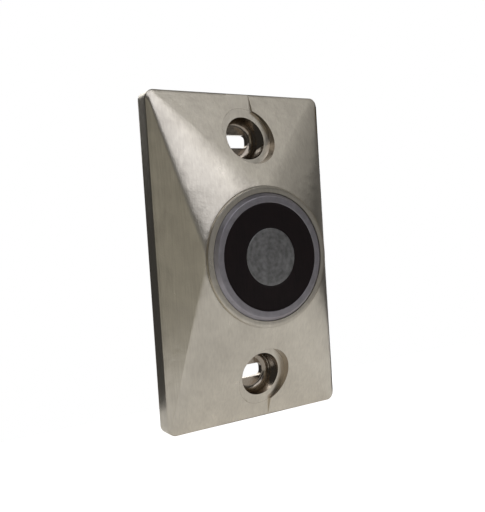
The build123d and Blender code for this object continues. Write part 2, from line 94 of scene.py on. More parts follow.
class Bench:
    """The modelling bench. Each method is one hand operation, in metres."""

    @staticmethod
    def take(piece: Object) -> None:
        """Leave edit mode and make this piece the only selected and the active one.

        Args:
            piece: The object to work on.
        """
        Bench.clear()
        piece.select_set(True)
        bpy.context.view_layer.objects.active = piece

    @staticmethod
    def clear() -> None:
        """Leave edit mode and deselect every object."""
        if bpy.context.object and bpy.context.object.mode != "OBJECT":
            bpy.ops.object.mode_set(mode="OBJECT")
        bpy.ops.object.select_all(action="DESELECT")

    @staticmethod
    def named(name: str) -> Object:
        """Leave edit mode and name the active object and its mesh.

        Args:
            name: The new name of both.

        Returns:
            The active object.
        """
        bpy.ops.object.mode_set(mode="OBJECT")
        piece = bpy.context.object
        piece.name = name
        piece.data.name = name
        return piece

    @staticmethod
    def choose_edges(piece: Object, wanted: Callable[[Vector, Vector], bool]) -> None:
        """Select edges by their place and enter edit mode with only them selected.

        Args:
            piece: The piece, whose place is in its mesh.
            wanted: Says whether an edge between two points is one of them.
        """
        Bench.take(piece)
        bpy.ops.object.mode_set(mode="EDIT")
        bpy.ops.mesh.select_mode(type="EDGE")
        bpy.ops.mesh.select_all(action="DESELECT")
        bpy.ops.object.mode_set(mode="OBJECT")
        points = piece.data.vertices
        for edge in piece.data.edges:
            start, end = (points[index].co for index in edge.vertices)
            edge.select = wanted(start, end)
        bpy.ops.object.mode_set(mode="EDIT")

    @staticmethod
    def close(piece: Object) -> None:
        """Merge doubled points, close open rings with one face each and turn all faces outwards.

        Args:
            piece: A piece whose open edges, if any, are flat rings.
        """
        Bench.take(piece)
        bpy.ops.object.transform_apply(location=True, rotation=True, scale=True)
        bpy.ops.object.mode_set(mode="EDIT")
        bpy.ops.mesh.select_mode(type="EDGE")
        bpy.ops.mesh.select_all(action="SELECT")
        bpy.ops.mesh.remove_doubles(threshold=0.1 * TOUCH)
        bpy.ops.mesh.select_all(action="DESELECT")
        bpy.ops.mesh.select_non_manifold(extend=False)
        bpy.ops.mesh.fill_holes(sides=0)
        bpy.ops.mesh.select_all(action="SELECT")
        bpy.ops.mesh.normals_make_consistent(inside=False)
        bpy.ops.object.mode_set(mode="OBJECT")

    @staticmethod
    def combine(piece: Object, tool: Object, blend: Blend) -> None:
        """Cut a closed tool from a piece or join it on, and throw the tool away.

        Args:
            piece: The piece that is kept.
            tool: The closed shape that acts on it.
            blend: Whether the tool is cut away or joined on.
        """
        Bench.take(piece)
        step = piece.modifiers.new("combine", "BOOLEAN")
        step.operation = blend.value
        step.solver = "EXACT"
        step.object = tool
        bpy.ops.object.modifier_apply(modifier=step.name)
        bpy.data.objects.remove(tool, do_unlink=True)

    @staticmethod
    def turned(name: str, rings: list[Spot], steps: int, centre: Spot = CENTRE) -> Object:
        """Turn a closed solid about an axis that points out of the wall.

        The first ring is a circle, and each further one is extruded from the last, moved and
        resized. Where the last ring is the first one again, the section is closed. Otherwise
        both ends are closed with a face.

        Args:
            name: Name of the piece.
            rings: Radius and depth of each ring, in order along the section.
            steps: Points round each ring.
            centre: Where the axis stands, across and up.

        Returns:
            The new object, with its place in its mesh.
        """
        across, up = centre
        radius, depth = rings[0]
        Bench.clear()
        bpy.ops.mesh.primitive_circle_add(
            vertices=steps, radius=radius, location=(across, -depth, up),
            rotation=(math.pi / 2, 0, 0), enter_editmode=True)
        for next_radius, next_depth in rings[1:]:
            bpy.ops.mesh.extrude_region_move(
                TRANSFORM_OT_translate={"value": (0, depth - next_depth, 0)})
            scale = next_radius / radius
            bpy.ops.transform.resize(
                value=(scale, 1, scale), center_override=(across, -next_depth, up))
            radius, depth = next_radius, next_depth
        piece = Bench.named(name)
        Bench.close(piece)
        return piece

    @staticmethod
    def cylinder(name: str, radius: float, low: float, high: float, steps: int,
                 centre: Spot = CENTRE) -> Object:
        """Turn a plain cylinder between two depths.

        Args:
            name: Name of the piece.
            radius: Its radius.
            low: Depth of its back.
            high: Depth of its front.
            steps: Points round it.
            centre: Where its axis stands, across and up.

        Returns:
            The new object.
        """
        return Bench.turned(name, [(radius, low), (radius, high)], steps, centre)

    @staticmethod
    def prism(name: str, size: Spot, corner: float, corner_steps: int, low: float, high: float,
              centre: Spot = CENTRE) -> Object:
        """Extrude a rectangle with rounded corners between two depths.

        Args:
            name: Name of the piece.
            size: Its width and height.
            corner: Radius of its corners, or 0 for square ones.
            corner_steps: Edges round each corner.
            low: Depth of its back.
            high: Depth of its front.
            centre: Its middle, across and up.

        Returns:
            The new object, closed, with its place in its mesh.
        """
        Bench.clear()
        bpy.ops.mesh.primitive_plane_add(
            size=1.0, location=(centre[0], -low, centre[1]), rotation=(math.pi / 2, 0, 0))
        bpy.context.object.scale = (size[0], size[1], 1)
        bpy.ops.object.transform_apply(location=True, rotation=True, scale=True)
        bpy.ops.object.mode_set(mode="EDIT")
        bpy.ops.mesh.select_all(action="SELECT")
        if corner:
            bpy.ops.mesh.bevel(offset=corner, segments=corner_steps, affect="VERTICES")
        bpy.ops.mesh.select_all(action="SELECT")
        bpy.ops.mesh.extrude_region_move(TRANSFORM_OT_translate={"value": (0, low - high, 0)})
        piece = Bench.named(name)
        Bench.close(piece)
        return piece

    @staticmethod
    def trim(piece: Object, point: Vector, normal: Vector) -> None:
        """Saw a closed piece along a plane, drop what lies behind it and close the cut.

        Args:
            piece: The piece.
            point: A point of the plane.
            normal: Direction square to the plane, towards the side that is kept.
        """
        Bench.take(piece)
        bpy.ops.object.mode_set(mode="EDIT")
        bpy.ops.mesh.select_all(action="SELECT")
        bpy.ops.mesh.bisect(plane_co=point, plane_no=normal, use_fill=True, clear_inner=True)
        bpy.ops.object.mode_set(mode="OBJECT")

    @staticmethod
    def round_edges(piece: Object, width: float, segments: int,
                    share: Callable[[Vector, float], float]) -> None:
        """Round edges, each by its own share of a greatest width.

        Args:
            piece: The piece.
            width: Greatest width of the rounding.
            segments: Steps across the rounding.
            share: Gives each edge's share from its middle and the angle between its faces.
        """
        mesh = bmesh.new()
        mesh.from_mesh(piece.data)
        weights = mesh.edges.layers.float.new("bevel_weight_edge")
        for edge in mesh.edges:
            middle = (edge.verts[0].co + edge.verts[1].co) / 2
            edge[weights] = share(middle, math.degrees(edge.calc_face_angle(0.0)))
        mesh.to_mesh(piece.data)
        mesh.free()
        Bench.take(piece)
        bevel = piece.modifiers.new("round", "BEVEL")
        bevel.width = width
        bevel.segments = segments
        bevel.limit_method = "WEIGHT"
        bevel.use_clamp_overlap = False
        bevel.loop_slide = False
        bpy.ops.object.modifier_apply(modifier=bevel.name)

    @staticmethod
    def shade(piece: Object, crisp: float) -> None:
        """Shade smooth, with broad faces kept even right up to their rounded edges.

        Args:
            piece: The piece.
            crisp: Angle past which an edge stays crisp, in degrees.
        """
        Bench.take(piece)
        bpy.ops.object.shade_smooth_by_angle(angle=math.radians(crisp))
        even = piece.modifiers.new("even", "WEIGHTED_NORMAL")
        even.keep_sharp = True
        bpy.ops.object.modifier_apply(modifier=even.name)


@dataclass(frozen=True)
class Facets:
    """The measures of a block whose rectangular outline rises to a circle with flat facets.

    Attributes:
        inset: How far its outline lies inside the plate's.
        corner: Radius of its corners.
        back: Depth of its back.
        rim: Depth at which its facets begin.
        foot_radius: Radius of the circle that they end on.
        foot_depth: Depth of that circle.
    """

    inset: float
    corner: float
    back: float
    rim: float
    foot_radius: float
    foot_depth: float


@dataclass(frozen=True)
class CoverPlate:
    """The hollow cast cover: rim, four facets that rise to the collar, and two screw recesses.

    Attributes:
        width: Width of the plate.
        height: Height of the plate.
        outside: The block that the cover is cut from.
        inside: The space behind the facets.
        corner_steps: Edges round each corner, and round a quarter of the facets' upper end.
        wall: Wall round the recesses and wells, seen from behind.
        collar_radius: Outer radius of the collar.
        collar_depth: Depth of the collar's front.
        bore: Radius of the hole that the magnet looks through.
        seat_radius: Radius of the step that takes the magnet's flange.
        seat_depth: Depth of that step.
        seat_wall: Outer radius of the ring round that step.
        ring_back: Depth of the back of that ring and of the four bosses.
        recess_up: Distance of each screw recess above or below the middle.
        recess: Radius of the recess.
        slope: Angle of the floor of recess and channel, which starts at the rim's front edge.
        channel: Width of the channel from the recess to the short edge.
        well_up: Distance of each well, and its slot, above or below the middle.
        well: Radius of the well in the recess's floor.
        bowl: Radius of the rounding between the well's wall and its floor.
        floor: Thickness of the well's floor.
        slot: Length and width of the slot in that floor.
        slot_corner: Radius of the slot's corners.
        boss_place: Distance of the bosses' axes across and up.
        boss: Radius of a boss.
        pilot: Radius of the hole in a boss.
        pilot_depth: Depth of the hole in a boss.
        edge: Greatest rounding of an edge.
        plain_end: Stretch at the short edges where the recesses' edges stay sharp.
        crisp: Angle past which an edge is shaded crisp, in degrees.
        steps: Points round the bore and the collar.
        recess_steps: Points round recesses, wells and the magnet's seat.
        boss_steps: Points round a boss.
        pilot_steps: Points round the hole in a boss.
    """

    width: float
    height: float
    outside: Facets = Facets(
        inset=0.0, corner=3.0 * MM, back=0.0, rim=6.0 * MM, foot_radius=24.0 * MM,
        foot_depth=19.3 * MM)
    inside: Facets = Facets(
        inset=2.5 * MM, corner=0.8 * MM, back=-1.0 * MM, rim=4.6 * MM, foot_radius=23.6 * MM,
        foot_depth=15.8 * MM)
    corner_steps: int = 29
    wall: float = 2.0 * MM
    collar_radius: float = 23.6 * MM
    collar_depth: float = 20.2 * MM
    bore: float = 21.6 * MM
    seat_radius: float = 24.8 * MM
    seat_depth: float = 14.5 * MM
    seat_wall: float = 27.0 * MM
    ring_back: float = 11.2 * MM
    recess_up: float = 41.7 * MM
    recess: float = 10.1 * MM
    slope: float = math.radians(13.2)
    channel: float = 9.0 * MM
    well_up: float = 41.1 * MM
    well: float = 7.5 * MM
    bowl: float = 2.4 * MM
    floor: float = 2.0 * MM
    slot: Spot = (11.1 * MM, 4.6 * MM)
    slot_corner: float = 1.6 * MM
    boss_place: Spot = (19.6 * MM, 24.0 * MM)
    boss: float = 3.6 * MM
    pilot: float = 1.45 * MM
    pilot_depth: float = 4.5 * MM
    edge: float = 0.6 * MM
    plain_end: float = 6.0 * MM
    crisp: float = 32.0
    steps: int = 144
    recess_steps: int = 96
    boss_steps: int = 32
    pilot_steps: int = 24

    def build(self) -> Object:
        """Model the whole cover.

        Returns:
            The cover, one closed piece.
        """
        cover = self.block("cover_plate", self.outside)
        collar = Bench.cylinder(
            "collar", self.collar_radius, self.seat_depth, self.collar_depth, self.steps)
        for blank in (cover, collar):
            Bench.round_edges(blank, self.edge, 4, self.blank_rounding)
        Bench.combine(cover, collar, Blend.JOIN)
        for tool in (self.hollow(), *self.cuts()):
            Bench.combine(cover, tool, Blend.CUT)
        Bench.round_edges(cover, self.edge, 3, self.cut_rounding)
        Bench.shade(cover, self.crisp)
        return cover

    def block(self, name: str, facets: Facets) -> Object:
        """Model a solid with the plate's outline whose sides rise to a circle.

        Args:
            name: Name of the piece.
            facets: Its measures.

        Returns:
            The new closed object.
        """
        size = (self.width - 2 * facets.inset, self.height - 2 * facets.inset)
        piece = Bench.prism(
            name, size, facets.corner, self.corner_steps, facets.back, facets.rim)
        around = len(piece.data.vertices) // 2
        before_rim = -facets.rim + TOUCH
        Bench.choose_edges(piece, lambda a, b: max(a.y, b.y) < before_rim)
        bpy.ops.mesh.delete(type="ONLY_FACE")
        bpy.ops.mesh.primitive_circle_add(
            vertices=around, radius=facets.foot_radius, location=(0, -facets.foot_depth, 0),
            rotation=(math.pi / 2, 0, 0))
        bpy.ops.transform.rotate(
            value=math.pi / around, orient_axis="Y", center_override=(0, 0, 0))
        Bench.choose_edges(piece, lambda a, b: max(a.y, b.y) < before_rim)
        bpy.ops.mesh.bridge_edge_loops(type="SINGLE")
        Bench.close(piece)
        return piece

    def boss_spots(self) -> list[Spot]:
        """List where the four bosses stand.

        Returns:
            The place of each boss's axis, across and up.
        """
        across, up = self.boss_place
        return [(side * across, end * up) for side in (-1, 1) for end in (-1, 1)]

    def pocket(self, end: int, wall: float) -> Object:
        """Model the space of one screw recess and its channel, above their sloping floor.

        Args:
            end: 1 for the upper recess, -1 for the lower one.
            wall: Wall to add round it and behind it.

        Returns:
            The closed shape, which reaches out past the cover's front and its short edge.
        """
        front = self.collar_depth + 2 * PAST
        top = self.height / 2 + 2 * PAST
        pocket = Bench.cylinder("pocket", self.recess + wall, 0.0, front, self.recess_steps,
                                (0.0, end * self.recess_up))
        channel = Bench.prism(
            "channel", (self.channel + 2 * wall, top - self.recess_up), 0.0, 1, 0.0, front,
            (0.0, end * (top + self.recess_up) / 2))
        Bench.combine(pocket, channel, Blend.JOIN)
        start = Vector((
            0.0, wall / math.cos(self.slope) - self.outside.rim, end * self.height / 2))
        ahead = Vector((0.0, -math.cos(self.slope), end * math.sin(self.slope)))
        Bench.trim(pocket, start, ahead)
        return pocket

    def hollow(self) -> Object:
        """Model the space behind the cover, less the recesses, wells, seat ring and bosses.

        Returns:
            The closed shape to cut from the cover.
        """
        space = self.block("hollow", self.inside)
        front = self.collar_depth
        tools = [Bench.cylinder("ring", self.seat_wall, self.ring_back, front, self.recess_steps)]
        for end in (1, -1):
            tools.append(self.pocket(end, self.wall))
            tools.append(Bench.cylinder("well", self.well + self.wall, -self.wall, front,
                                        2 * self.boss_steps, (0.0, end * self.well_up)))
        for spot in self.boss_spots():
            tools.append(Bench.cylinder(
                "boss", self.boss, self.ring_back, front, self.boss_steps, spot))
        for tool in tools:
            Bench.combine(space, tool, Blend.CUT)
        return space

    def cuts(self) -> list[Object]:
        """Model everything that is cut from the cover after its hollow.

        Returns:
            The closed shapes to cut, in order.
        """
        front = self.collar_depth + PAST
        tools = [
            Bench.cylinder("bore", self.bore, -PAST, front, self.steps),
            Bench.cylinder("seat", self.seat_radius, -PAST, self.seat_depth, self.recess_steps),
        ]
        well = [*self.bowl_rings(), (self.well, front)]
        for end in (1, -1):
            centre = (0.0, end * self.well_up)
            tools += [
                self.pocket(end, 0.0),
                Bench.turned("well", well, self.recess_steps, centre),
                Bench.prism("slot", self.slot, self.slot_corner, 8, -PAST, self.floor + PAST,
                            centre),
            ]
        for spot in self.boss_spots():
            tools.append(Bench.cylinder(
                "pilot", self.pilot, self.ring_back - PAST, self.ring_back + self.pilot_depth,
                self.pilot_steps, spot))
        return tools

    def bowl_rings(self) -> list[Spot]:
        """List the rings of the well's rounded foot, from its floor outwards.

        Returns:
            The radius and depth of each ring.
        """
        turns = [math.radians(turn) for turn in range(0, 91, 15)]
        return [(self.well - self.bowl * (1 - math.sin(turn)),
                 self.floor + self.bowl * (1 - math.cos(turn))) for turn in turns]

    def blank_rounding(self, middle: Vector, angle: float) -> float:
        """Say how much an edge of the plain block or of the collar's blank is rounded.

        Args:
            middle: The edge's middle.
            angle: Angle between its faces, in degrees.

        Returns:
            Its share of the greatest width.
        """
        depths = {"back": 0.0, "rim": self.outside.rim, "foot": self.outside.foot_depth,
                  "collar": self.collar_depth}
        for name, depth in depths.items():
            if angle > BENT and abs(depth + middle.y) < TOUCH:
                return ROUNDING[name]
        return 0.0

    def cut_rounding(self, middle: Vector, angle: float) -> float:
        """Say how much an edge that a cut has left is rounded.

        Args:
            middle: The edge's middle.
            angle: Angle between its faces, in degrees.

        Returns:
            Its share of the greatest width.
        """
        depth, across, up = -middle.y, abs(middle.x), abs(middle.z)
        if abs(math.hypot(across, up) - self.bore) < NEAR and depth > self.outside.foot_depth:
            return ROUNDING["bore"] if angle > SQUARE else 0.0
        if depth < self.outside.rim or angle < SHARP or up > self.height / 2 - self.plain_end:
            return 0.0
        circles = {"well": (self.well_up, self.well), "recess": (self.recess_up, self.recess)}
        for name, (middle_up, radius) in circles.items():
            if abs(math.hypot(across, up - middle_up) - radius) < NEAR:
                return ROUNDING[name]
        return 0.0


@dataclass(frozen=True)
class PotMagnet:
    """The round magnet that looks out of the collar: steel cup, centre pole and black potting.

    Attributes:
        face: Depth of the pole faces.
        back: Depth of the cup's back.
        radius: Outer radius of the cup.
        chamfer: Chamfer round the cup's face.
        bore: Inner radius of the cup.
        floor: Depth of the cup's floor, inside.
        flange: Radius of the flange behind the collar.
        flange_front: Depth of the flange's front.
        flange_back: Depth of the flange's back.
        sink: Radius of the counterbore for the core's screw.
        sink_floor: Depth of its floor.
        hole: Radius of the screw's hole.
        pole: Radius of the centre pole.
        potting_back: Depth of the back of the potting.
        potting_sink: How far the potting lies behind the pole faces.
        lead_hole: Radius of the hole for the leads.
        lead_up: Height of that hole's axis.
        board_ring: Distance of the board screws' axes from the middle.
        board_screw: Radius of their holes.
        board_tap: Depth of their holes.
        board_turns: Where those screws stand round the axis, in degrees.
        core_screw: Radius of the core's tapped hole.
        core_tap: Depth of that hole.
        back_chamfer: Chamfer round the cup's back.
        cup_edge: Rounding of the cup's edges.
        pole_edge: Rounding of the pole's edges.
        climb: How far the potting climbs at the walls.
        reach: How far from the walls the climb begins.
        crisp: Angle past which an edge is rounded, and shaded crisp, in degrees.
        steps: Points round each ring.
        hole_steps: Points round the holes for the leads and the core's screw.
    """

    face: float
    back: float
    radius: float = 21.5 * MM
    chamfer: float = 1.2 * MM
    bore: float = 18.2 * MM
    floor: float = -7.8 * MM
    flange: float = 24.4 * MM
    flange_front: float = 14.5 * MM
    flange_back: float = 12.5 * MM
    sink: float = 4.8 * MM
    sink_floor: float = -10.8 * MM
    hole: float = 2.75 * MM
    pole: float = 9.7 * MM
    potting_back: float = 16.65 * MM
    potting_sink: float = 0.35 * MM
    lead_hole: float = 3.4 * MM
    lead_up: float = -14.2 * MM
    board_ring: float = 17.0 * MM
    board_screw: float = 1.45 * MM
    board_tap: float = 4.5 * MM
    board_turns: tuple[int, ...] = (90, 210, 330)
    core_screw: float = 2.5 * MM
    core_tap: float = 13.5 * MM
    back_chamfer: float = 0.5 * MM
    cup_edge: float = 0.2 * MM
    pole_edge: float = 0.35 * MM
    climb: float = 0.2 * MM
    reach: float = 0.9 * MM
    crisp: float = 25.0
    steps: int = 144
    hole_steps: int = 48

    def cup(self) -> Object:
        """Turn the steel cup and drill its holes for the leads and the board's three screws.

        Returns:
            The cup.
        """
        rings = [
            (self.hole, self.floor), (self.bore, self.floor), (self.bore, self.face),
            (self.radius - self.chamfer, self.face), (self.radius, self.face - self.chamfer),
            (self.radius, self.flange_front), (self.flange, self.flange_front),
            (self.flange, self.flange_back), (self.radius, self.flange_back),
            (self.radius, self.back + self.back_chamfer),
            (self.radius - self.back_chamfer, self.back), (self.sink, self.back),
            (self.sink, self.sink_floor), (self.hole, self.sink_floor), (self.hole, self.floor),
        ]
        cup = Bench.turned("pot_cup", rings, self.steps)
        before = self.back - PAST
        drills = [Bench.cylinder("drill", self.lead_hole, before, self.floor + PAST,
                                 self.hole_steps, (0, self.lead_up))]
        for turn in self.board_turns:
            angle = math.radians(turn)
            spot = (self.board_ring * math.cos(angle), self.board_ring * math.sin(angle))
            drills.append(Bench.cylinder("drill", self.board_screw, before,
                                         self.back + self.board_tap, self.hole_steps // 2, spot))
        for drill in drills:
            Bench.combine(cup, drill, Blend.CUT)
        return self.soften(cup, self.cup_edge, 3)

    def core(self) -> Object:
        """Turn the centre pole and tap it from behind.

        Returns:
            The pole.
        """
        core = Bench.cylinder("centre_pole", self.pole, self.floor, self.face, self.steps)
        tap = Bench.cylinder("tap", self.core_screw, self.floor - PAST,
                             self.floor + self.core_tap, self.hole_steps)
        Bench.combine(core, tap, Blend.CUT)
        return self.soften(core, self.pole_edge, 4)

    def soften(self, piece: Object, width: float, segments: int) -> Object:
        """Round all sharp edges of a turned piece alike and shade it.

        Args:
            piece: The piece.
            width: Width of the rounding.
            segments: Steps across the rounding.

        Returns:
            The same piece.
        """
        Bench.round_edges(
            piece, width, segments, lambda middle, angle: float(angle > self.crisp))
        Bench.shade(piece, self.crisp)
        return piece

    def potting(self) -> Object:
        """Turn the ring of potting, which climbs a little at both walls.

        Returns:
            The ring.
        """
        level = self.face - self.potting_sink
        top, middle = level + self.climb, level + self.climb / 3
        rings = [
            (self.pole, self.potting_back), (self.pole, top),
            (self.pole + self.reach / 3, middle), (self.pole + self.reach, level),
            (self.bore - self.reach, level), (self.bore - self.reach / 3, middle),
            (self.bore, top), (self.bore, self.potting_back), (self.pole, self.potting_back),
        ]
        ring = Bench.turned("potting", rings, self.steps)
        Bench.shade(ring, self.crisp)
        return ring


class Nodes:
    """A node tree that is being filled: adds nodes and joins them up."""

    def __init__(self, tree: NodeTree) -> None:
        """Start on an empty tree.

        Args:
            tree: The tree to fill.
        """
        self.tree = tree
        tree.nodes.clear()

    def add(self, kind: str, values: dict[str, object] | None = None, **settings: object) -> Node:
        """Add a node.

        Args:
            kind: Its type.
            values: Input values by socket name; a socket as value is linked.
            **settings: Its own settings.

        Returns:
            The node.
        """
        node = self.tree.nodes.new(kind)
        for key, value in settings.items():
            setattr(node, key, value)
        for key, value in (values or {}).items():
            self.feed(node.inputs[key], value)
        return node

    def feed(self, socket: NodeSocket, value: object) -> None:
        """Link a socket to an input, or set the input's value.

        Args:
            socket: The input.
            value: A socket to link, or a plain value.
        """
        if isinstance(value, NodeSocket):
            self.tree.links.new(value, socket)
        else:
            socket.default_value = value

    def math(self, operation: str, first: object, second: object = 0.0) -> NodeSocket:
        """Add a math node.

        Args:
            operation: What it does.
            first: A socket or a number.
            second: A socket or a number.

        Returns:
            Its output.
        """
        node = self.tree.nodes.new("ShaderNodeMath")
        node.operation = operation
        self.feed(node.inputs[0], first)
        self.feed(node.inputs[1], second)
        return node.outputs[0]

    def hypot(self, first: NodeSocket, second: NodeSocket) -> NodeSocket:
        """Add math nodes for the distance that two distances square to each other make.

        Args:
            first: A distance.
            second: The distance square to it.

        Returns:
            The straight distance.
        """
        squares = (self.math("POWER", side, 2.0) for side in (first, second))
        return self.math("SQRT", self.math("ADD", *squares))

    def noise(self, vector: object, scale: object, detail: float = 2.0,
              roughness: float = 0.5) -> NodeSocket:
        """Add a noise texture.

        Args:
            vector: Where it is read.
            scale: Features per metre.
            detail: Octaves.
            roughness: Weight of the fine octaves.

        Returns:
            Its value, from 0 to 1.
        """
        node = self.add("ShaderNodeTexNoise", {
            "Vector": vector, "Scale": scale, "Detail": detail, "Roughness": roughness})
        return node.outputs[0]

    def spread(self, value: object, low: float, high: float, to_low: object,
               to_high: object) -> NodeSocket:
        """Stretch a range of values to another range.

        Args:
            value: The value.
            low: Start of its range.
            high: End of its range.
            to_low: What low becomes.
            to_high: What high becomes.

        Returns:
            The stretched value.
        """
        node = self.add("ShaderNodeMapRange", {
            "Value": value, "From Min": low, "From Max": high, "To Min": to_low,
            "To Max": to_high})
        return node.outputs[0]

    def mix(self, share: object, first: object, second: object) -> NodeSocket:
        """Mix two colours.

        Args:
            share: Share of the second one.
            first: A socket or a colour.
            second: A socket or a colour.

        Returns:
            The mixed colour.
        """
        node = self.tree.nodes.new("ShaderNodeMix")
        node.data_type = "RGBA"
        self.feed(node.inputs[0], share)
        self.feed(node.inputs[6], first)
        self.feed(node.inputs[7], second)
        return node.outputs[2]


class Effect:
    """A shader node group that several finishes share, made the first time it is asked for."""

    name = "effect"
    inputs: tuple[tuple[str, str, float], ...] = ()
    outputs: tuple[str, ...] = ()

    def tree(self) -> NodeTree:
        """Find the group, or make it with its sockets and fill it.

        Returns:
            The group's tree.
        """
        made = bpy.data.node_groups.get(self.name)
        if made:
            return made
        tree = bpy.data.node_groups.new(self.name, "ShaderNodeTree")
        face = tree.interface
        face.new_socket(name="Vector", in_out="INPUT", socket_type="NodeSocketVector")
        for title, kind, value in self.inputs:
            face.new_socket(name=title, in_out="INPUT", socket_type=kind).default_value = value
        for title in self.outputs:
            face.new_socket(name=title, in_out="OUTPUT", socket_type="NodeSocketFloat")
        nodes = Nodes(tree)
        given = nodes.add("NodeGroupInput")
        made_sockets = self.fill(nodes, given)
        result = nodes.add("NodeGroupOutput")
        for title, socket in zip(self.outputs, made_sockets):
            nodes.feed(result.inputs[title], socket)
        return tree

    def fill(self, nodes: Nodes, given: Node) -> tuple[NodeSocket, ...]:
        """Fill the group.

        Args:
            nodes: The tree to fill.
            given: The group's input node.

        Returns:
            One socket for each output.
        """
        raise NotImplementedError

    def place(self, nodes: Nodes, vector: NodeSocket, **values: float) -> Node:
        """Place the group in a material.

        Args:
            nodes: The material's tree.
            vector: Where the effect is read.
            **values: Input values, with underscores for spaces.

        Returns:
            The group node.
        """
        node = nodes.add("ShaderNodeGroup", node_tree=self.tree())
        nodes.feed(node.inputs["Vector"], vector)
        for key, value in values.items():
            nodes.feed(node.inputs[key.replace("_", " ")], value)
        return node


class SatinGrain(Effect):
    """Fine pitted grain, slow waviness of a casting and faint brushing along the height.

    Attributes:
        along: How fast the brushing changes along the height, as a share of across it.
        slow: Number of the tone's features, as a share of the waves'.
    """

    name = "satin_grain"
    inputs = (("Grain", "NodeSocketFloat", 4000.0), ("Wave", "NodeSocketFloat", 500.0),
              ("Grain Depth", "NodeSocketFloat", 0.5), ("Wave Depth", "NodeSocketFloat", 0.5),
              ("Brush Depth", "NodeSocketFloat", 0.2))
    outputs = ("Height", "Tone")
    along = 0.06
    slow = 0.4

    def fill(self, nodes: Nodes, given: Node) -> tuple[NodeSocket, ...]:
        """Add the three noises by their depths.

        Args:
            nodes: The tree to fill.
            given: The group's input node.

        Returns:
            The height, and a slow tone from 0 to 1.
        """
        where = given.outputs["Vector"]
        drawn = nodes.add("ShaderNodeMapping", {"Vector": where, "Scale": (1.0, 1.0, self.along)})
        brush = nodes.noise(drawn.outputs[0], given.outputs["Grain"], 1.0)
        height = nodes.math("MULTIPLY", nodes.noise(where, given.outputs["Grain"], 1.0, 0.4),
                            given.outputs["Grain Depth"])
        waves = nodes.noise(where, given.outputs["Wave"], 1.0)
        for noise, depth in ((waves, "Wave Depth"), (brush, "Brush Depth")):
            height = nodes.math("ADD", height, nodes.math("MULTIPLY", noise,
                                                          given.outputs[depth]))
        slowly = nodes.math("MULTIPLY", given.outputs["Wave"], self.slow)
        tone = nodes.math("ADD", nodes.math("MULTIPLY", nodes.noise(where, slowly, 3.0, 0.6), 0.6),
                          nodes.math("MULTIPLY", brush, 0.4))
        return height, nodes.spread(tone, 0.3, 0.7, 0.0, 1.0)


class RingMask(Effect):
    """A band between two circles, drawn the same above and below the middle of the object."""

    name = "ring_mask"
    inputs = (("Up", "NodeSocketFloat", 0.04), ("Inner", "NodeSocketFloat", 0.0),
              ("Outer", "NodeSocketFloat", 0.01))
    outputs = ("Inside",)

    def fill(self, nodes: Nodes, given: Node) -> tuple[NodeSocket, ...]:
        """Compare the distance from the nearer axis with both radii.

        Args:
            nodes: The tree to fill.
            given: The group's input node.

        Returns:
            The mask, 1 inside the band and 0 outside it.
        """
        parts = nodes.add("ShaderNodeSeparateXYZ", {"Vector": given.outputs["Vector"]})
        height = nodes.math("ABSOLUTE", parts.outputs["Z"])
        above = nodes.math("SUBTRACT", height, given.outputs["Up"])
        radius = nodes.hypot(parts.outputs["X"], above)
        past_inner = nodes.math("SUBTRACT", radius, given.outputs["Inner"])
        below_outer = nodes.math("SUBTRACT", given.outputs["Outer"], radius)
        depth = nodes.math("MINIMUM", past_inner, below_outer)
        return (nodes.spread(depth, -2 * TOUCH, 2 * TOUCH, 0.0, 1.0),)


class TurnedRings(Effect):
    """The fine rings that a lathe leaves on a face square to the magnet's axis.

    Attributes:
        mottles: Mottles per metre.
        drifts: Wanders of the rings per metre.
        bands: Radians of a broad band's wave from one ring to the next.
        band_tone: How much the broad bands show.
    """

    name = "turned_rings"
    inputs = (("Pitch", "NodeSocketFloat", 0.00025), ("Wander", "NodeSocketFloat", 0.0025))
    outputs = ("Height", "Tone")
    mottles = 420.0
    drifts = 90.0
    bands = 1.1
    band_tone = 0.04

    def fill(self, nodes: Nodes, given: Node) -> tuple[NodeSocket, ...]:
        """Draw a sine over the distance from the axis, with a slow wander.

        Args:
            nodes: The tree to fill.
            given: The group's input node.

        Returns:
            The height and a slow tone, both 0 to 1.
        """
        where = given.outputs["Vector"]
        parts = nodes.add("ShaderNodeSeparateXYZ", {"Vector": where})
        radius = nodes.hypot(parts.outputs["X"], parts.outputs["Z"])
        mottle = nodes.noise(where, self.mottles, 3.0, 0.6)
        wander = nodes.math(
            "MULTIPLY", nodes.noise(where, self.drifts, 1.0), given.outputs["Wander"])
        turns = nodes.math("DIVIDE", nodes.math("ADD", radius, wander), given.outputs["Pitch"])
        ring = nodes.math("SINE", nodes.math("MULTIPLY", turns, 2 * math.pi))
        band = nodes.math("SINE", nodes.math("MULTIPLY", turns, self.bands))
        height = nodes.math("ADD", nodes.math("MULTIPLY", ring, 0.5), 0.5)
        tone = nodes.math("ADD", nodes.math("MULTIPLY", band, self.band_tone), mottle)
        return height, nodes.spread(tone, 0.3, 0.75, 0.0, 1.0)


